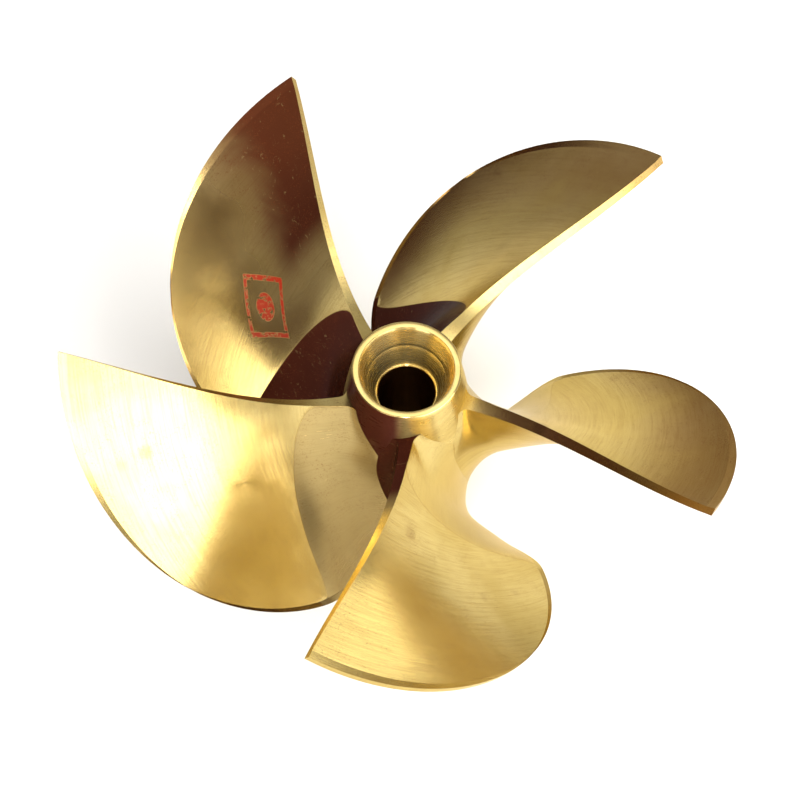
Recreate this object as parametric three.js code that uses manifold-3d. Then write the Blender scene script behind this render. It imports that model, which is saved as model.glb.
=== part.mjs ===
// Five-bladed left-handed cleaver propeller, cast in one piece. Millimetres, +Z along the shaft axis.
// The hub's forward face lies in z = 0 and the aft end, with its counterbore, points up.
import * as THREE from "three";
import { mergeVertices } from "three/addons/utils/BufferGeometryUtils.js";
import Module from "manifold-3d";

// Driving dimensions
const DIAMETER = 560; // over the blade tips
const PITCH = 1064; // advance of the pressure face in one turn, left-handed
const BLADES = 5;
const FIRST_BLADE_ANGLE = 2.0339; // trailing edge of blade_1 at 0.6 R, radians from +X
const HUB_LENGTH = 258;
const HUB_BELLY_R = 60.5; // widest radius of the barrel
const HUB_BELLY_Z = 107; // where it is widest
const HUB_AFT_R = 45.9;
const HUB_EDGE = 1.2; // chamfer on the hub's outer edges
const BORE_FORWARD_R = 31.75; // 2.5 inch shaft
const BORE_TAPER = 1 / 16; // on diameter
const KEYWAY_WIDTH = 15.9;
const KEYWAY_DEPTH = 7.9;
const COUNTERBORE_DEPTH = 40;
const COUNTERBORE_MOUTH_R = 40;
const COUNTERBORE_FLOOR_R = 26.6;
const BORE_CHAMFER = 1; // at the counterbore's floor
const TRAILING_EDGE_ROOT = 10; // thickness of the flat-cut trailing edge
const TRAILING_EDGE_TIP = 6.5;
const LEADING_EDGE = 3; // thickness under the lip
const SWELL_ROOT = 23; // extra thickness at mid-chord
const SWELL_TIP = 1.5;
const SWELL_REACH = 0.55; // share of the span over which it dies away
const NOSE_DROP = 13; // how far the hand-ground nose falls away from the pressure face
const NOSE_THICKNESS = 6;
const CREASE_START = 0.3; // r / R where the machined face ends, at the trailing edge
const CREASE_END = 0.6; // and at the leading edge
const LIP_WIDTH = 8; // raised strip along the outer edge of the pressure face
const LIP_HEIGHT = 1;
const FILLET = 15; // blade root radius
const EDGE_FILLET = 7; // where the root meets the trailing edge
const ROOT_GAP = 0.35; // keeps hub and blade apart as separate meshes

const R = DIAMETER / 2;
const LEAD = PITCH / (2 * Math.PI); // axial advance per radian
const ROOT_R = 0.2 * R;
const SWELL = (HUB_BELLY_R - HUB_AFT_R) / (HUB_LENGTH - HUB_BELLY_Z) ** 2;
const hubRadius = (z) => HUB_BELLY_R - SWELL * (z - HUB_BELLY_Z) ** 2;
const boreRadius = (z) => BORE_FORWARD_R - (z * BORE_TAPER) / 2;

// Trailing edge of the pressure face: its angle and its height over the forward face.
const edgeAngle = (r) => {
  const s = r / R - 0.6;
  return FIRST_BLADE_ANGLE - 0.3955 * s + 0.3824 * s * s;
};
const edgeHeight = (r) => {
  const s = r / R - 0.6;
  return HUB_LENGTH + R * (0.0218 + 0.358 * s + 0.1946 * s * s);
};

// Outline of the developed blade: x is r / R, y is the angle from the trailing edge.
const vec = (x, y) => new THREE.Vector2(x, y);
const TIP_TO_BELLY = new THREE.CubicBezierCurve(
  vec(1, 0), vec(1.0428, 0.7374), vec(0.66, 0.94), vec(0.43, 1.06));
const BELLY_TO_ROOT = new THREE.CubicBezierCurve(
  vec(0.43, 1.06), vec(0.35, 1.1), vec(0.26, 0.98), vec(0.2, 0.95));
const CORNER = 0.4; // where the outer edge is taken to turn into the leading edge
const BELLY = 0.34; // share of the leading edge inboard of the widest station

const { lerp, clamp, smoothstep } = THREE.MathUtils;
const trailing = (u) => vec(lerp(0.2, 1, u), 0);
const outer = (v) => TIP_TO_BELLY.getPoint(v * CORNER);
const leading = (u) =>
  u < BELLY
    ? BELLY_TO_ROOT.getPoint(1 - u / BELLY)
    : TIP_TO_BELLY.getPoint(lerp(1, CORNER, (u - BELLY) / (1 - BELLY)));

// Coons patch between the four edges, u from root to tip and v from trailing to leading edge.
function planform(u, v) {
  const across = trailing(u).lerp(leading(u), v);
  const along = vec(0.2, 0.95 * v).lerp(outer(v), u);
  const bilinear = trailing(0).lerp(leading(0), v).lerp(trailing(1).lerp(leading(1), v), u);
  return across.add(along).sub(bilinear);
}

// A point of the pressure face, or the given depth behind it, on the cylinder of radius r.
function bladePoint(r, angle, depth) {
  const slope = Math.hypot(r, LEAD);
  const turn = edgeAngle(r) + angle - (depth * LEAD) / (slope * r);
  const z = edgeHeight(r) - LEAD * angle - (depth * r) / slope;
  return new THREE.Vector3(r * Math.cos(turn), r * Math.sin(turn), z);
}

// Extra half thickness of the root fillet at the given height over the hub.
const filletSwell = (height, radius) =>
  height < radius ? radius - Math.sqrt(radius ** 2 - (radius - height) ** 2) : 0;

// Inboard of a slanted crease the face is ground by hand and falls away towards the nose.
const noseShare = (s) => 1 - smoothstep(s, lerp(CREASE_START, CREASE_END, 0.3), CREASE_END);
function noseDrop(s, v) {
  const crease = smoothstep(s, CREASE_START, CREASE_END);
  const beyond = clamp((v - crease) / Math.max(1 - crease, 0.02), 0, 1);
  return NOSE_DROP * noseShare(s) * (0.3 * beyond + 0.7 * beyond ** 2);
}

// A point of the blade: k is 0 on the pressure face and 1 on the back.
function skinPoint(u, v, plan, lip, k) {
  const nose = lerp(LEADING_EDGE, NOSE_DROP + NOSE_THICKNESS, noseShare(plan.x));
  const thickness = lerp(TRAILING_EDGE_ROOT, TRAILING_EDGE_TIP, u) * (1 - v) + nose * v
    + lerp(SWELL_TIP, SWELL_ROOT, Math.exp(-((u / SWELL_REACH) ** 2.5))) * 4 * v * (1 - v);
  const ground = noseDrop(plan.x, v);
  const nominal = plan.x * R;
  const fillet = lerp(EDGE_FILLET, FILLET, smoothstep(v, 0, 0.3));
  let r = nominal;
  let point;
  for (let pass = 0; pass < 12; pass++) {
    const z = point ? point.z : HUB_LENGTH / 2;
    const height = Math.max(r - hubRadius(z), ROOT_GAP);
    const swell = filletSwell(height, fillet);
    const raised = lip * smoothstep(plan.x, 0.5, CREASE_END);
    const depth = lerp(ground - raised - swell, thickness + swell, k);
    point = bladePoint(r, plan.y + (swell * v) / LEAD, depth);
    r = nominal + (1 - u) ** 2 * (hubRadius(point.z) + ROOT_GAP - ROOT_R);
  }
  return point;
}

// Stations close together in the root fillet, then even; the last two hold the lip.
const RADIAL = [0, 0.006, 0.015, 0.028, 0.045, 0.065, 0.1];
for (let i = 1; i <= 9; i++) RADIAL.push(lerp(0.1, 0.94, i / 9));
const CHORD = Array.from({ length: 12 }, (_, j) => (0.95 * j) / 11);
const LAYERS = 5;

function bladeGrid() {
  const us = [...RADIAL, 1, 1];
  const vs = [...CHORD, 1, 1];
  const rows = us.map((u) => vs.map((v) => planform(u, v)));
  const last = us.length - 1;
  const end = vs.length - 1;
  const inset = (edge, inner) => {
    const width = bladePoint(edge.x * R, edge.y, 0).distanceTo(bladePoint(inner.x * R, inner.y, 0));
    return edge.clone().lerp(inner, Math.min(0.8, LIP_WIDTH / width));
  };
  rows.forEach((row, i) => { if (i < last - 1) row[end - 1] = inset(row[end], row[end - 2]); });
  for (let j = 0; j < end - 1; j++) rows[last - 1][j] = inset(rows[last][j], rows[last - 2][j]);
  rows[last - 1][end - 1] = inset(rows[last][end], rows[last - 2][end - 2]);
  return rows.map((row, i) => row.map((plan, j) =>
    Array.from({ length: LAYERS + 1 }, (_, k) =>
      skinPoint(us[i], vs[j], plan, i === last || j === end ? LIP_HEIGHT : 0, k / LAYERS))));
}

// Closed skin over the six sides of a grid of points.
function skin(grid) {
  const positions = [];
  const nu = grid.length - 1;
  const nv = grid[0].length - 1;
  const quad = (a, b, c, d) => [a, b, c, a, c, d].forEach((p) => positions.push(p.x, p.y, p.z));
  for (let i = 0; i < nu; i++)
    for (let j = 0; j < nv; j++) {
      const at = (k) => [grid[i][j][k], grid[i + 1][j][k], grid[i + 1][j + 1][k], grid[i][j + 1][k]];
      quad(...at(0));
      quad(...at(LAYERS).reverse());
    }
  for (let k = 0; k < LAYERS; k++) {
    for (let i = 0; i < nu; i++) {
      const at = (j) => [grid[i][j][k], grid[i][j][k + 1], grid[i + 1][j][k + 1], grid[i + 1][j][k]];
      quad(...at(0));
      quad(...at(nv).reverse());
    }
    for (let j = 0; j < nv; j++) {
      const at = (i) => [grid[i][j][k], grid[i][j + 1][k], grid[i][j + 1][k + 1], grid[i][j][k + 1]];
      quad(...at(0));
      quad(...at(nu).reverse());
    }
  }
  const geometry = new THREE.BufferGeometry();
  geometry.setAttribute("position", new THREE.Float32BufferAttribute(positions, 3));
  const closed = mergeVertices(geometry, 1e-4);
  closed.computeVertexNormals();
  return closed;
}

function hubBlank() {
  const floor = HUB_LENGTH - COUNTERBORE_DEPTH;
  const outside = Array.from({ length: 15 }, (_, i) => {
    const z = lerp(HUB_EDGE, HUB_LENGTH - HUB_EDGE, i / 14);
    return vec(hubRadius(z), z);
  });
  const profile = [
    vec(BORE_FORWARD_R, 0),
    vec(hubRadius(0) - HUB_EDGE, 0),
    ...outside,
    vec(HUB_AFT_R - HUB_EDGE, HUB_LENGTH),
    vec(COUNTERBORE_MOUTH_R, HUB_LENGTH),
    vec(COUNTERBORE_FLOOR_R, floor),
    vec(boreRadius(floor) + BORE_CHAMFER, floor),
    vec(boreRadius(floor - BORE_CHAMFER), floor - BORE_CHAMFER),
    vec(BORE_FORWARD_R, 0),
  ];
  return new THREE.LatheGeometry(profile, 80).rotateX(Math.PI / 2);
}

const wasm = await Module();
wasm.setup();

function toSolid(geometry) {
  const bare = geometry.clone();
  bare.deleteAttribute("normal");
  bare.deleteAttribute("uv");
  const merged = mergeVertices(bare, 1e-4);
  return new wasm.Manifold(new wasm.Mesh({
    numProp: 3,
    vertProperties: merged.attributes.position.array,
    triVerts: new Uint32Array(merged.index.array),
  }));
}

function toGeometry(solid) {
  const mesh = solid.getMesh();
  const geometry = new THREE.BufferGeometry();
  geometry.setAttribute("position", new THREE.BufferAttribute(mesh.vertProperties, 3));
  geometry.setIndex(new THREE.BufferAttribute(mesh.triVerts, 1));
  const flat = geometry.toNonIndexed();
  flat.computeVertexNormals();
  return flat;
}

// The keyway runs straight through the taper, on the -Y side of the bore.
function hub() {
  const floor = HUB_LENGTH - COUNTERBORE_DEPTH;
  const lean = Math.atan(BORE_TAPER / 2);
  const key = new THREE.BoxGeometry(KEYWAY_WIDTH, 2 * KEYWAY_DEPTH, 2 * floor)
    .rotateX(-lean)
    .translate(0, -boreRadius(floor / 2), floor / 2);
  return toGeometry(toSolid(hubBlank()).subtract(toSolid(key)));
}

const bronze = new THREE.MeshStandardMaterial({ color: 0xc9a25a, metalness: 1, roughness: 0.3 });
const cast = new THREE.MeshStandardMaterial({ color: 0xb58f4e, metalness: 1, roughness: 0.45 });
const part = new THREE.Group();

const hubMesh = new THREE.Mesh(hub(), cast);
hubMesh.name = "hub";
part.add(hubMesh);

const bladeSkin = skin(bladeGrid());
for (let n = 0; n < BLADES; n++) {
  const blade = new THREE.Mesh(bladeSkin, bronze);
  blade.name = `blade_${n + 1}`;
  blade.rotation.z = (-2 * Math.PI * n) / BLADES;
  part.add(blade);
}

export default part;
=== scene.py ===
import math

import bpy
import numpy as np
from mathutils import Matrix, Vector


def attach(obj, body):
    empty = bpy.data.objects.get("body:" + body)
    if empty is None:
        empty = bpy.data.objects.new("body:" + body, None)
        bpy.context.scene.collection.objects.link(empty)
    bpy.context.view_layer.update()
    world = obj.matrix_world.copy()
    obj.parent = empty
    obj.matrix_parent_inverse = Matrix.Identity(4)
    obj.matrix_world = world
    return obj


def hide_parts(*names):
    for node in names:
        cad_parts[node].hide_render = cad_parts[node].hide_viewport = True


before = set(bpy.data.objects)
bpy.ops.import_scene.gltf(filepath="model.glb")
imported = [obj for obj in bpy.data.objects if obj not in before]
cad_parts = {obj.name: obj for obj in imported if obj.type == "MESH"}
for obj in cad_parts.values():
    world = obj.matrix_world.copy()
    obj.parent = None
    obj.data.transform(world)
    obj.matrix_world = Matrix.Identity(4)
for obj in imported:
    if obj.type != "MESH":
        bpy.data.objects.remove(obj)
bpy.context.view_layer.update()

# ---------------------------------------------------------------- dimensions, mm
R = 280.0
LEAD = 1064.0 / (2 * math.pi)
BLADES = 5
FIRST_ANGLE = 2.0339
HUB_LENGTH = 258.0
BELLY_R, BELLY_Z, AFT_R = 60.5, 107.0, 45.9
SWELL = (BELLY_R - AFT_R) / (HUB_LENGTH - BELLY_Z) ** 2
BORE_R, BORE_TAPER = 31.75, 1 / 16
KEY_HALF, KEY_DEPTH = 7.95, 7.9
CB_DEPTH, CB_MOUTH, CB_FLOOR = 40.0, 40.0, 26.6
TE_ROOT, TE_TIP, LE = 10.0, 6.5, 3.0
MID_ROOT, MID_TIP, MID_REACH = 23.0, 1.5, 0.55
NOSE_DROP, NOSE_T = 13.0, 6.0
CREASE_0, CREASE_1 = 0.3, 0.6
RISE = 0.10
LIP_W, LIP_H = 8.0, 1.0
FILLET, EDGE_FILLET = 26.0, 7.0


def hub_radius(z):
    return BELLY_R - SWELL * (z - BELLY_Z) ** 2


# ---------------------------------------------------------------- blade surface
def edge_angle(r):
    s = r / R - 0.6
    return FIRST_ANGLE - 0.3955 * s + 0.3824 * s * s


def edge_height(r):
    s = r / R - 0.6
    return HUB_LENGTH + R * (0.0218 + 0.358 * s + 0.1946 * s * s)


def bezier(points, t):
    p = np.array(points)
    t = np.asarray(t)[..., None]
    return ((1 - t) ** 3 * p[0] + 3 * (1 - t) ** 2 * t * p[1]
            + 3 * (1 - t) * t * t * p[2] + t ** 3 * p[3])


TIP_TO_BELLY = [(1, 0), (1.0428, 0.7374), (0.66, 0.94), (0.43, 1.06)]
BELLY_TO_ROOT = [(0.43, 1.06), (0.35, 1.1), (0.26, 0.98), (0.2, 0.95)]
CORNER, BELLY = 0.4, 0.34


def trailing(u):
    return np.stack([0.2 + 0.8 * u, 0 * u], -1)


def leading(u):
    inboard = bezier(BELLY_TO_ROOT, 1 - np.minimum(u / BELLY, 1))
    outboard = bezier(TIP_TO_BELLY, 1 + (CORNER - 1) * np.maximum(u - BELLY, 0) / (1 - BELLY))
    return np.where(u[..., None] < BELLY, inboard, outboard)


def mix(a, b, t):
    return a + (b - a) * t[..., None]


def planform(u, v):
    along = mix(np.stack([0.2 + 0 * v, 0.95 * v], -1), bezier(TIP_TO_BELLY, v * CORNER), u)
    across = mix(trailing(u), leading(u), v)
    zero, one = np.zeros_like(u), np.ones_like(u)
    corners = mix(mix(trailing(zero), leading(zero), v), mix(trailing(one), leading(one), v), u)
    return across + along - corners


def blade_point(r, angle, depth):
    slope = np.hypot(r, LEAD)
    turn = edge_angle(r) + angle - depth * LEAD / (slope * r)
    z = edge_height(r) - LEAD * angle - depth * r / slope
    return np.stack([r * np.cos(turn), r * np.sin(turn), z], -1)


def fillet_swell(height, radius):
    inside = np.clip(radius - height, 0, radius)
    return radius - np.sqrt(np.maximum(radius ** 2 - inside ** 2, 0)) + np.maximum(-height, 0)


def smoothstep(x, a, b):
    t = np.clip((x - a) / (b - a), 0, 1)
    return t * t * (3 - 2 * t)


def fairing_rise(s, v):
    """Inboard of the crease the face sweeps up towards the hub."""
    line = CREASE_0 + (CREASE_1 - CREASE_0) * (0.5 - np.sin(np.arcsin(1 - 2 * np.clip(v, 0, 1)) / 3))
    return RISE * R * np.maximum(line - s, 0) * (1 - v) ** 0.5


def nose_share(s):
    return 1 - smoothstep(s, CREASE_0 + 0.3 * (CREASE_1 - CREASE_0), CREASE_1)


def nose_drop(s, v):
    crease = smoothstep(s, CREASE_0, CREASE_1)
    beyond = np.clip((v - crease) / np.maximum(1 - crease, 0.02), 0, 1)
    return NOSE_DROP * nose_share(s) * (0.3 * beyond + 0.7 * beyond ** 2)


def skin_point(u, v, plan, lip, k, root_height=0.0):
    nose = LE + (NOSE_DROP + NOSE_T - LE) * nose_share(plan[..., 0])
    thick = (TE_ROOT + (TE_TIP - TE_ROOT) * u) * (1 - v) + nose * v \
        + (MID_TIP + (MID_ROOT - MID_TIP) * np.exp(-(u / MID_REACH) ** 2.5)) * 4 * v * (1 - v)
    ground = nose_drop(plan[..., 0], v) - fairing_rise(plan[..., 0], v)
    nominal = plan[..., 0] * R
    fillet = EDGE_FILLET + (FILLET - EDGE_FILLET) * smoothstep(v, 0, 0.3)
    r, z = nominal, np.full_like(nominal, HUB_LENGTH / 2)
    for _ in range(12):
        height = r - hub_radius(z)
        swell = fillet_swell(height, fillet)
        raised = lip * smoothstep(plan[..., 0], 0.5, CREASE_1)
        depth = (ground - raised - swell) * (1 - k) + (thick + swell) * k
        point = blade_point(r, plan[..., 1] + swell * v / LEAD, depth)
        z = point[..., 2]
        r = nominal + (1 - u) ** 2 * (hub_radius(z) + root_height - 0.2 * R)
    return point


def blade_grid():
    us = np.concatenate([np.linspace(0, 1, 13)[:-1] ** 1.6 * 0.1, np.linspace(0.1, 0.955, 44), [1, 1]])
    vs = np.concatenate([np.linspace(0, 0.96, 40), [1, 1]])
    u, v = np.meshgrid(us, vs, indexing="ij")
    plan = planform(u, v)

    def inset(edge, inner):
        a = blade_point(edge[..., 0] * R, edge[..., 1], 0.0)
        b = blade_point(inner[..., 0] * R, inner[..., 1], 0.0)
        width = np.linalg.norm(a - b, axis=-1)
        return mix(edge, inner, np.minimum(0.8, LIP_W / width))

    plan[:-2, -2] = inset(plan[:-2, -1], plan[:-2, -3])
    plan[-2, :-2] = inset(plan[-1, :-2], plan[-3, :-2])
    plan[-2, -2] = inset(plan[-1, -1], plan[-3, -3])
    lip = np.zeros_like(u)
    lip[-1, :] = LIP_H
    lip[:, -1] = LIP_H
    return u, v, plan, lip


LAYERS = 6


def blade_mesh(index):
    u, v, plan, lip = blade_grid()
    nu, nv = u.shape
    ks = np.linspace(0, 1, LAYERS + 1)
    points = np.stack([skin_point(u, v, plan, lip, np.full_like(u, k), -0.4) for k in ks], 2)
    turn = -2 * math.pi * index / BLADES
    c, s = math.cos(turn), math.sin(turn)
    x, y = points[..., 0].copy(), points[..., 1].copy()
    points[..., 0], points[..., 1] = c * x - s * y, s * x + c * y
    ids = -np.ones((nu, nv, LAYERS + 1), int)
    verts, rad, ang, chord = [], [], [], []

    def vid(i, j, k):
        if ids[i, j, k] < 0:
            ids[i, j, k] = len(verts)
            verts.append(points[i, j, k] / 1000)
            rad.append(plan[i, j, 0])
            ang.append(plan[i, j, 1])
            chord.append(v[i, j])
        return int(ids[i, j, k])

    faces, side = [], []  # side: 0 face, 1 back, 2 trailing edge, 3 leading and outer edge

    def quad(a, b, c2, d, tag):
        faces.append((vid(*a), vid(*b), vid(*c2), vid(*d)))
        side.append(tag)

    for i in range(nu - 1):
        for j in range(nv - 1):
            quad((i, j, 0), (i + 1, j, 0), (i + 1, j + 1, 0), (i, j + 1, 0), 0)
            quad((i, j + 1, LAYERS), (i + 1, j + 1, LAYERS),
                 (i + 1, j, LAYERS), (i, j, LAYERS), 1)
    for k in range(LAYERS):
        for i in range(nu - 1):
            quad((i, 0, k), (i, 0, k + 1), (i + 1, 0, k + 1), (i + 1, 0, k), 2)
            quad((i, nv - 1, k), (i + 1, nv - 1, k),
                 (i + 1, nv - 1, k + 1), (i, nv - 1, k + 1), 3)
        for j in range(nv - 1):
            quad((nu - 1, j, k), (nu - 1, j, k + 1),
                 (nu - 1, j + 1, k + 1), (nu - 1, j + 1, k), 3)
    name = "visual_blade_%d" % (index + 1)
    mesh = bpy.data.meshes.new(name)
    mesh.from_pydata([tuple(p) for p in verts], [], faces)
    mesh.update()
    for label, values in (("rad", rad), ("ang", ang), ("chord", chord)):
        data = mesh.attributes.new(label, "FLOAT", "POINT").data
        data.foreach_set("value", np.array(values, np.float32))
    data = mesh.attributes.new("side", "FLOAT", "FACE").data
    data.foreach_set("value", np.array(side, np.float32))
    mesh.shade_smooth()
    mesh.set_sharp_from_angle(angle=math.radians(28))
    rim = set(ids[nu - 2, :nv - 1, 0])
    rim |= {ids[i, nv - 2, 0] for i in range(nu - 1) if plan[i, nv - 2, 0] > 0.56}
    sharp = mesh.attributes["sharp_edge"].data
    for edge in mesh.edges:
        if edge.vertices[0] in rim and edge.vertices[1] in rim:
            sharp[edge.index].value = True
    obj = bpy.data.objects.new(name, mesh)
    bpy.context.collection.objects.link(obj)
    return obj


# ---------------------------------------------------------------- hub
def hub_profile():
    floor = HUB_LENGTH - CB_DEPTH
    top = HUB_LENGTH
    p = [(BORE_R + 1, 0), (BORE_R, 1)]
    p += [(BORE_R - z * BORE_TAPER / 2, z) for z in np.linspace(8, floor - 1.0, 8)]
    small = BORE_R - floor * BORE_TAPER / 2
    p += [(small + 0.03, floor - 1.0), (small + 1.0, floor)]
    p += [(CB_FLOOR - 0.5, floor), (CB_FLOOR, floor + 0.5)]
    cone = lambda z: CB_FLOOR + (CB_MOUTH - CB_FLOOR) * (z - floor) / CB_DEPTH
    p += [(cone(z), z) for z in np.linspace(floor + 2, top - 20.5, 6)]
    p += [(cone(top - 20) + 0.12, top - 20), (cone(top - 19) + 0.12, top - 19)]
    p += [(cone(z), z) for z in np.linspace(top - 18.6, top - 1.6, 8)]
    p += [(CB_MOUTH - 0.1, top - 1.0), (CB_MOUTH + 0.3, top - 0.3), (CB_MOUTH + 1.0, top)]
    p += [(AFT_R - 1.4, top), (AFT_R - 0.5, top - 0.35), (hub_radius(top - 1.3), top - 1.3)]
    p += [(hub_radius(z), z) for z in np.linspace(top - 5, 5, 46)]
    p += [(hub_radius(1.5), 1.5), (hub_radius(0) - 0.6, 0.4), (hub_radius(0) - 1.6, 0)]
    return p


def hub_mesh():
    profile = hub_profile()
    columns = 288
    verts, faces = [], []
    for r, z in profile:
        for c in range(columns):
            a = 2 * math.pi * c / columns - math.pi / 2
            rr = r
            off = abs(r * math.cos(a))
            if r < 41 and math.sin(a) < 0 and off < KEY_HALF and z < HUB_LENGTH - 12:
                bottom = BORE_R - z * BORE_TAPER / 2 + KEY_DEPTH - 2.8
                rr = max(r, math.hypot(off, bottom))
            verts.append((rr * math.cos(a) / 1000, rr * math.sin(a) / 1000, z / 1000))
    n = len(profile)
    for i in range(n):
        for c in range(columns):
            d = (c + 1) % columns
            a, b = i * columns, ((i + 1) % n) * columns
            faces.append((a + c, b + c, b + d, a + d))
    mesh = bpy.data.meshes.new("visual_hub")
    mesh.from_pydata(verts, [], faces)
    mesh.update()
    mesh.shade_smooth()
    mesh.set_sharp_from_angle(angle=math.radians(35))
    obj = bpy.data.objects.new("visual_hub", mesh)
    bpy.context.collection.objects.link(obj)
    return obj


# ---------------------------------------------------------------- materials
class Nodes:
    """Small helper that chains shader nodes; numbers and sockets can be mixed as inputs."""

    def __init__(self, name):
        self.mat = bpy.data.materials.new(name)
        self.mat.use_nodes = True
        self.tree = self.mat.node_tree
        self.bsdf = self.tree.nodes["Principled BSDF"]

    def node(self, kind, inputs=(), **settings):
        n = self.tree.nodes.new(kind)
        for key, value in settings.items():
            setattr(n, key, value)
        for key, value in dict(inputs).items():
            self.feed(n.inputs[key], value)
        return n

    def feed(self, socket, value):
        if isinstance(value, bpy.types.NodeSocket):
            self.tree.links.new(value, socket)
        else:
            socket.default_value = value

    def math(self, op, *values):
        return self.node("ShaderNodeMath", enumerate(values), operation=op).outputs[0]

    def step(self, value, low, high, to_low=0.0, to_high=1.0):
        n = self.node("ShaderNodeMapRange", interpolation_type="SMOOTHSTEP")
        names = ("Value", "From Min", "From Max", "To Min", "To Max")
        for key, v in zip(names, (value, low, high, to_low, to_high)):
            self.feed(n.inputs[key], v)
        return n.outputs[0]

    def attr(self, name):
        return self.node("ShaderNodeAttribute", attribute_name=name).outputs["Fac"]

    def vector(self, x, y, z):
        return self.node("ShaderNodeCombineXYZ", {0: x, 1: y, 2: z}).outputs[0]

    def noise(self, vector, scale, detail=3.0, rough=0.5, distort=0.0):
        n = self.node("ShaderNodeTexNoise", {"Vector": vector, "Scale": scale, "Detail": detail,
                                             "Roughness": rough, "Distortion": distort})
        return n.outputs["Fac"]

    def mix(self, factor, a, b):
        n = self.node("ShaderNodeMix", data_type="RGBA")
        self.feed(n.inputs[0], factor)
        self.feed(n.inputs[6], a)
        self.feed(n.inputs[7], b)
        return n.outputs[2]

    def blend(self, factor, a, b):
        n = self.node("ShaderNodeMix", data_type="FLOAT")
        self.feed(n.inputs[0], factor)
        self.feed(n.inputs[2], a)
        self.feed(n.inputs[3], b)
        return n.outputs[0]

    def around_axis(self):
        return self.node("ShaderNodeTangent", direction_type="RADIAL", axis="Z").outputs[0]

    def bump(self, height, distance, strength=1.0, normal=None):
        n = self.node("ShaderNodeBump", {"Height": height, "Distance": distance, "Strength": strength})
        if normal is not None:
            self.tree.links.new(normal, n.inputs["Normal"])
        return n.outputs[0]


GOLD = (0.47, 0.35, 0.12, 1)
PALE = (0.59, 0.465, 0.19, 1)
DEEP = (0.31, 0.19, 0.055, 1)
# dark colour for real tarnish spots and specks, also used as painted shade towards the tips and in the bore
TARNISH_AND_SHADE = (0.13, 0.035, 0.012, 1)
# painted shade colour, dark maroon
PAINTED_SHADE_COLOUR = (0.042, 0.007, 0.004, 1)
RED = (0.30, 0.022, 0.008, 1)
EDGE_TINT = (0.94, 0.82, 0.56, 1)
# specular tint of the painted shade
PAINTED_SHADE_TINT = (0.22, 0.04, 0.025, 1)
STAMP_RAD, STAMP_ANG = 0.576, 0.425
GROUND_SHADE_AMOUNT = (0.99, 0.99, 0.0, 0.0, 0.45)  # painted shade standing in for dark reflections on the hand-ground part of each blade
TIP_SHADE_AMOUNT = (0.30, 0.50, 0.70, 0.0, 0.0)  # painted shade towards each tip
EDGE_SHADE_AMOUNT = (0.98, 0.25, 0.0, 0.0, 0.0)  # painted shade along the trailing edge
BACK_SHADE_AMOUNT = (0.0, 0.0, 0.0, 0.99, 0.0)  # painted shade low on the back


def stamp_mask(n, rad, ang, face, wear):
    """A worn inspection stamp: a square frame round a dot."""
    x = n.math("MULTIPLY", n.math("SUBTRACT", ang, STAMP_ANG), 238 / 30)
    y = n.math("MULTIPLY", n.math("SUBTRACT", rad, STAMP_RAD), 280 / 30)
    p = n.math("MULTIPLY", n.math("ADD", x, y), 0.7071)
    q = n.math("MULTIPLY", n.math("SUBTRACT", y, x), 0.7071)
    box = n.math("MAXIMUM", n.math("ABSOLUTE", p), n.math("ABSOLUTE", q))
    frame_line = n.math("MULTIPLY", n.step(box, 0.64, 0.67), n.step(box, 0.77, 0.80, 1.0, 0.0))
    reach = n.math("SQRT", n.math("ADD", n.math("MULTIPLY", x, x), n.math("MULTIPLY", y, y)))
    ink = n.math("MAXIMUM", frame_line, n.step(reach, 0.34, 0.38, 1.0, 0.0))
    return n.math("MULTIPLY", n.math("MULTIPLY", ink, face), wear)


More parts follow.
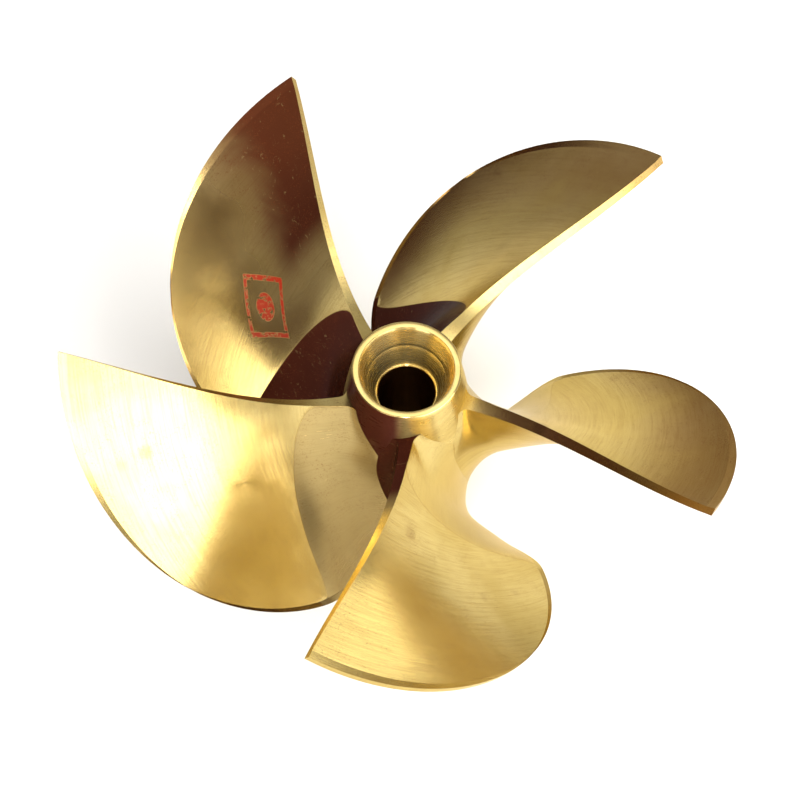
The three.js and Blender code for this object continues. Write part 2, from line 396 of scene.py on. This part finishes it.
def blade_bronze(name, stamped, seed, ground_shade, tip, edge, back):
    n = Nodes(name)
    rad, ang, v, side = n.attr("rad"), n.attr("ang"), n.attr("chord"), n.attr("side")
    face = n.step(side, 0.3, 0.5, 1.0, 0.0)
    place = n.node("ShaderNodeTexCoord").outputs["Object"]
    crease = n.step(rad, 0.3, 0.6)
    past = n.math("SUBTRACT", v, crease)
    ground = n.math("MAXIMUM", n.step(past, 0.0, 0.006), n.step(side, 0.5, 0.7))
    along = n.vector(n.math("MULTIPLY", rad, 190), n.math("MULTIPLY", ang, 5), seed)
    across = n.vector(n.math("MULTIPLY", rad, 9), n.math("MULTIPLY", ang, 95), seed)
    brush = n.noise(along, 1.0, 6, 0.65)
    rough_brush = n.noise(across, 1.0, 5, 0.6)
    lines = n.blend(ground, brush, rough_brush)
    cloud = n.noise(place, 9.0, 4, 0.55, 0.4)
    mottle = n.noise(place, 60.0, 3, 0.6)
    grain = n.noise(place, 900.0, 2, 0.5)
    colour = n.mix(n.step(cloud, 0.35, 0.68), GOLD, PALE)
    colour = n.mix(n.math("MULTIPLY", n.step(lines, 0.42, 0.72), 0.38), colour, DEEP)
    colour = n.mix(n.math("MULTIPLY", n.math("MULTIPLY", ground, face), 0.45), colour, PALE)
    groove = n.math("MULTIPLY", n.step(n.math("ABSOLUTE", past), 0.0, 0.012, 1.0, 0.0), face)
    colour = n.mix(n.math("MULTIPLY", groove, 0.5), colour, DEEP)
    # painted shade: a dark patch on the ground region of the face, standing in for dark reflections
    shade_mask = n.math("MULTIPLY", n.math("MULTIPLY", ground, face), ground_shade)
    drift = n.math("MULTIPLY", n.math("SUBTRACT", cloud, 0.5), 0.5)
    # painted shade on the trailing-edge side of the face, set per blade
    near_edge = n.step(n.math("SUBTRACT", v, drift), 0.12, 0.52, 1.0, 0.0)
    near_edge = n.math("MULTIPLY", n.math("MULTIPLY", near_edge, face),
                       n.step(rad, 0.40, 0.62, 0.0, edge))
    # painted shade low on the back near the root, set per blade
    low_back = n.math("MULTIPLY", n.step(side, 0.5, 0.7, 0.0, back),
                      n.step(rad, 0.38, 0.50, 1.0, 0.0))
    shade_mask = n.math("MAXIMUM", shade_mask, n.math("MAXIMUM", near_edge, low_back))
    # mix in the painted shade colour where the painted shade masks are set
    colour = n.mix(shade_mask, colour, PAINTED_SHADE_COLOUR)
    # painted shade towards the tip, set per blade
    outer = n.math("MULTIPLY", n.step(n.math("ADD", rad, n.math("MULTIPLY", cloud, 0.35)), 0.78, 1.08), tip)
    colour = n.mix(outer, colour, TARNISH_AND_SHADE)
    spots = n.node("ShaderNodeTexVoronoi", {"Vector": place, "Scale": 26.0, "Randomness": 1.0})
    spot = n.math("MULTIPLY", n.step(spots.outputs["Distance"], 0.10, 0.24, 1.0, 0.0),
                  n.step(cloud, 0.5, 0.62))
    colour = n.mix(n.math("MULTIPLY", spot, 0.35), colour, TARNISH_AND_SHADE)
    speck = n.math("MULTIPLY", n.step(grain, 0.56, 0.68), n.step(mottle, 0.38, 0.60))
    colour = n.mix(n.math("MULTIPLY", speck, n.blend(outer, 0.45, 0.95)), colour, TARNISH_AND_SHADE)
    curls = n.vector(n.math("MULTIPLY", rad, 34), n.math("MULTIPLY", ang, 40), seed + 9.0)
    scratch = n.step(n.noise(curls, 1.0, 9, 0.75, 1.6), 0.60, 0.66)
    colour = n.mix(n.math("MULTIPLY", scratch, 0.18), colour, PALE)
    rough = n.math("ADD", n.math("MULTIPLY", lines, 0.12), n.math("MULTIPLY", cloud, 0.10))
    rough = n.math("ADD", rough, 0.13)
    # the painted shade also lowers metallic and, below, the specular level and tint
    metallic = n.math("SUBTRACT", 1.0, n.math("MULTIPLY", shade_mask, 0.75))
    if stamped:
        wear = n.step(n.noise(place, 210.0, 4, 0.7), 0.40, 0.50)
        ink = stamp_mask(n, rad, ang, face, wear)
        colour = n.mix(ink, colour, RED)
        rough = n.blend(ink, rough, 0.55)
        bare = n.math("SUBTRACT", 1.0, n.math("MULTIPLY", ink, 0.9))
        metallic = n.math("MULTIPLY", metallic, bare)
    n.feed(n.bsdf.inputs["Base Color"], colour)
    n.feed(n.bsdf.inputs["Metallic"], metallic)
    n.feed(n.bsdf.inputs["Roughness"], rough)
    n.bsdf.inputs["Anisotropic"].default_value = 0.5
    n.bsdf.inputs["Anisotropic Rotation"].default_value = 0.25
    n.feed(n.bsdf.inputs["Specular Tint"], n.mix(shade_mask, EDGE_TINT, PAINTED_SHADE_TINT))
    n.feed(n.bsdf.inputs["Specular IOR Level"], n.blend(shade_mask, 0.5, 0.05))
    n.feed(n.bsdf.inputs["Tangent"], n.around_axis())
    fold = n.math("MULTIPLY", n.math("MAXIMUM", past, 0.0), face)
    normal = n.bump(n.math("MULTIPLY", fold, -1.0), 0.012)
    normal = n.bump(lines, n.blend(ground, 0.00006, 0.00012), 0.8, normal)
    normal = n.bump(mottle, 0.00012, 0.35, normal)
    n.feed(n.bsdf.inputs["Normal"], normal)
    return n.mat


def hub_bronze():
    n = Nodes("hub_bronze")
    place = n.node("ShaderNodeTexCoord").outputs["Object"]
    xyz = n.node("ShaderNodeSeparateXYZ", {0: place})
    x, y, z = xyz.outputs
    radius = n.math("SQRT", n.math("ADD", n.math("MULTIPLY", x, x), n.math("MULTIPLY", y, y)))
    turned = n.math("MAXIMUM", n.step(radius, 0.0440, 0.0446, 1.0, 0.0), n.step(z, 0.2572, 0.2576))
    lathe = n.noise(n.vector(n.math("MULTIPLY", radius, 3200), n.math("MULTIPLY", z, 3200), 0.0), 1.0, 4, 0.6)
    hand = n.noise(n.vector(n.math("MULTIPLY", x, 60), n.math("MULTIPLY", y, 60),
                            n.math("MULTIPLY", z, 260)), 1.0, 5, 0.6)
    lines = n.blend(turned, hand, lathe)
    cloud = n.noise(place, 14.0, 4, 0.55, 0.3)
    mottle = n.noise(place, 90.0, 3, 0.6)
    grain = n.noise(place, 1000.0, 2, 0.5)
    colour = n.mix(n.step(cloud, 0.35, 0.68), GOLD, PALE)
    colour = n.mix(n.math("MULTIPLY", n.step(lines, 0.42, 0.72), 0.35), colour, DEEP)
    # painted shade: the bore wall on the +Y side is darkened
    bore_shade = n.math("MULTIPLY", n.step(z, 0.2168, 0.2176, 1.0, 0.0), n.step(radius, 0.040, 0.041, 1.0, 0.0))
    bore_shade = n.math("MULTIPLY", bore_shade, n.step(y, -0.012, 0.0))
    cone = n.math("MULTIPLY", n.step(radius, 0.0400, 0.0402, 1.0, 0.0), n.step(z, 0.2174, 0.2182))
    # painted light: the counterbore cone wall is coloured paler and brighter
    colour = n.mix(n.math("MULTIPLY", cone, 0.5), colour, (0.80, 0.62, 0.27, 1))
    colour = n.mix(n.math("MULTIPLY", bore_shade, 0.9), colour, TARNISH_AND_SHADE)
    # painted shade: a dark patch on the front-left side of the hub, standing in for a dark reflection
    left = n.math("MULTIPLY", n.step(x, -0.012, 0.012, 1.0, 0.0), n.step(y, -0.01, 0.01, 1.0, 0.0))
    front_left_shade = n.math("MULTIPLY", n.math("MULTIPLY", left, n.math("SUBTRACT", 1.0, turned)),
                  n.step(cloud, 0.25, 0.45, 0.8, 0.99))
    colour = n.mix(front_left_shade, colour, PAINTED_SHADE_COLOUR)
    speck = n.math("MULTIPLY", n.step(grain, 0.62, 0.70), n.step(mottle, 0.42, 0.62))
    colour = n.mix(n.math("MULTIPLY", speck, 0.5), colour, TARNISH_AND_SHADE)
    n.feed(n.bsdf.inputs["Base Color"], colour)
    n.feed(n.bsdf.inputs["Metallic"], n.math("SUBTRACT", 1.0, n.math("MULTIPLY", front_left_shade, 0.75)))
    finish = n.math("ADD", n.blend(turned, 0.2, 0.12), n.math("MULTIPLY", cone, 0.05))
    n.feed(n.bsdf.inputs["Roughness"], n.math("ADD", n.math("MULTIPLY", lines, 0.18), finish))
    n.bsdf.inputs["Anisotropic"].default_value = 0.85
    n.bsdf.inputs["Anisotropic Rotation"].default_value = 0.25
    n.feed(n.bsdf.inputs["Specular Tint"], n.mix(front_left_shade, EDGE_TINT, PAINTED_SHADE_TINT))
    n.feed(n.bsdf.inputs["Specular IOR Level"], n.blend(front_left_shade, 0.5, 0.05))
    n.feed(n.bsdf.inputs["Tangent"], n.around_axis())
    normal = n.bump(lines, n.blend(turned, 0.00005, 0.000008), 0.6)
    normal = n.bump(mottle, n.blend(turned, 0.00016, 0.00002), 0.5, normal)
    n.feed(n.bsdf.inputs["Normal"], normal)
    return n.mat


def plain_bronze():
    n = Nodes("bronze")
    place = n.node("ShaderNodeTexCoord").outputs["Object"]
    cloud = n.noise(place, 12.0, 4, 0.55)
    n.feed(n.bsdf.inputs["Base Color"], n.mix(cloud, GOLD, PALE))
    n.bsdf.inputs["Metallic"].default_value = 1.0
    n.feed(n.bsdf.inputs["Roughness"], n.step(cloud, 0.2, 0.8, 0.2, 0.4))
    return n.mat


def paper():
    n = Nodes("stage_paper")
    cloud = n.noise(n.node("ShaderNodeTexCoord").outputs["Object"], 3.0)
    n.feed(n.bsdf.inputs["Base Color"], n.mix(cloud, (0.78, 0.78, 0.775, 1), (0.80, 0.80, 0.795, 1)))
    n.bsdf.inputs["Roughness"].default_value = 0.9
    return n.mat


metal = plain_bronze()
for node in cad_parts.values():
    node.data.materials.clear()
    node.data.materials.append(metal)

hub = hub_mesh()
hub.data.materials.append(hub_bronze())
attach(hub, "root")
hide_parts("hub")
for n in range(BLADES):
    blade = blade_mesh(n)
    bronze = blade_bronze("blade_bronze_%d" % (n + 1), n == 0, 3.7 * n,
                          GROUND_SHADE_AMOUNT[n], TIP_SHADE_AMOUNT[n], EDGE_SHADE_AMOUNT[n], BACK_SHADE_AMOUNT[n])
    blade.data.materials.append(bronze)
    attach(blade, "root")
    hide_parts("blade_%d" % (n + 1))

# ---------------------------------------------------------------- stage
FLOOR_SIZE = 12.0
grid = 24
fv = [((i / grid - 0.5) * FLOOR_SIZE, (j / grid - 0.5) * FLOOR_SIZE, 0.0)
      for j in range(grid + 1) for i in range(grid + 1)]
row = grid + 1
ff = [(j * row + i, j * row + i + 1, (j + 1) * row + i + 1, (j + 1) * row + i)
      for j in range(grid) for i in range(grid)]
floor_mesh = bpy.data.meshes.new("floor")
floor_mesh.from_pydata(fv, [], ff)
floor_mesh.materials.append(paper())
floor = bpy.data.objects.new("floor", floor_mesh)
bpy.context.collection.objects.link(floor)


def direction(azimuth, elevation):
    a, e = math.radians(azimuth), math.radians(elevation)
    return Vector((math.cos(e) * math.cos(a), math.cos(e) * math.sin(a), math.sin(e)))


CENTRE = Vector((0, 0, 0.2))


def softbox(name, azimuth, elevation, distance, width, height, radiance, colour):
    data = bpy.data.lights.new(name, "AREA")
    data.shape = "RECTANGLE"
    data.size, data.size_y = width, height
    data.energy = radiance * math.pi * width * height
    data.color = colour
    lamp = bpy.data.objects.new(name, data)
    out = direction(azimuth, elevation)
    turn = out.to_track_quat("Z", "Y").to_matrix().to_4x4()
    lamp.matrix_world = Matrix.Translation(CENTRE + distance * out) @ turn
    lamp.visible_camera = False
    bpy.context.collection.objects.link(lamp)


softbox("overhead", 90, 80, 1.9, 1.8, 1.8, 2.1, (1, 0.99, 0.97))
softbox("front_left", -120, 20, 2.4, 1.1, 1.5, 5.2, (1, 0.98, 0.93))
softbox("front_right", -38, 28, 2.4, 2.9, 2.0, 6.5, (1, 0.98, 0.93))
softbox("right_back", 34, 10, 2.6, 1.1, 0.6, 3.0, (1, 0.98, 0.93))
softbox("front_key", -91, 44, 2.2, 0.26, 1.1, 22.0, (1, 0.98, 0.93))

world = bpy.data.worlds.new("studio")
world.use_nodes = True
tree = world.node_tree
sky = tree.nodes["Background"]
toward = tree.nodes.new("ShaderNodeTexCoord").outputs["Generated"]
lobes = []
for aim in (direction(-174, 4), direction(-161, 34)):
    lobe = tree.nodes.new("ShaderNodeVectorMath")
    lobe.operation = "DOT_PRODUCT"
    lobe.inputs[1].default_value = aim
    tree.links.new(toward, lobe.inputs[0])
    lobes.append(lobe.outputs["Value"])
dark_side = tree.nodes.new("ShaderNodeMath")
dark_side.operation = "MAXIMUM"
tree.links.new(lobes[0], dark_side.inputs[0])
tree.links.new(lobes[1], dark_side.inputs[1])
ramp = tree.nodes.new("ShaderNodeValToRGB")
ramp.color_ramp.interpolation = "EASE"
ramp.color_ramp.elements[0].position = 0.74
ramp.color_ramp.elements[0].color = (0.64, 0.63, 0.61, 1)
ramp.color_ramp.elements[1].position = 0.89
ramp.color_ramp.elements[1].color = (0.07, 0.012, 0.018, 1)
tree.links.new(dark_side.outputs[0], ramp.inputs["Fac"])
tree.links.new(ramp.outputs["Color"], sky.inputs["Color"])
sky.inputs["Strength"].default_value = 1.0
bpy.context.scene.world = world
bpy.context.scene.view_settings.view_transform = "Standard"

# ---------------------------------------------------------------- camera
ELEVATION, ROLL = math.radians(62.382), math.radians(0.062)
SHIFT = (0.0197, 0.0929, 5.0598)
right = Vector((1, 0, 0))
up = Vector((0, math.sin(ELEVATION), math.cos(ELEVATION)))
back = Vector((0, -math.cos(ELEVATION), math.sin(ELEVATION)))
cam_data = bpy.data.cameras.new("camera")
cam_data.lens = 76.48
cam_data.sensor_width = 36
cam = bpy.data.objects.new("camera", cam_data)
bpy.context.collection.objects.link(cam)
place = (Vector((0, 0, HUB_LENGTH / 1000))
         + (R / 1000) * (SHIFT[2] * back - SHIFT[0] * right - SHIFT[1] * up))
cam.matrix_world = Matrix.Translation(place) @ Matrix((right, up, back)).transposed().to_4x4()
bpy.context.scene.camera = cam
